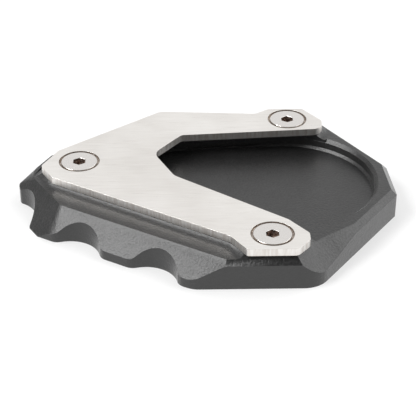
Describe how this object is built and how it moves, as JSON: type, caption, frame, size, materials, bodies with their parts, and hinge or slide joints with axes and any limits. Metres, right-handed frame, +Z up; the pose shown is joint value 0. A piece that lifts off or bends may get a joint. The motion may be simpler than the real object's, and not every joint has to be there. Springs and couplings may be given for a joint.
{
  "type": "kickstand foot enlarger",
  "caption": "Flat scalloped base with a foot pocket, bevelled edges and a forked clamp plate held on it by countersunk screws, to widen the foot of a motorbike side stand.",
  "frame": {"origin": "middle of the bounding box at the flat underside of the base", "axes": "+X towards the open round end of the foot pocket, +Y away from the straight front wall, +Z up from the ground to the clamp plate"},
  "size_m": [0.1256, 0.096, 0.014],
  "materials": {
    "black_anodised": "satin black anodised",
    "brushed_stainless": "fine brushed",
    "screw_steel": "smooth bright"
  },
  "bodies": {
    "root": {"base_plate": "black_anodised", "clamp_plate": "brushed_stainless", "left_clamp_screw": "screw_steel", "front_clamp_screw": "screw_steel", "rear_clamp_screw": "screw_steel"}
  },
  "joints": []
}
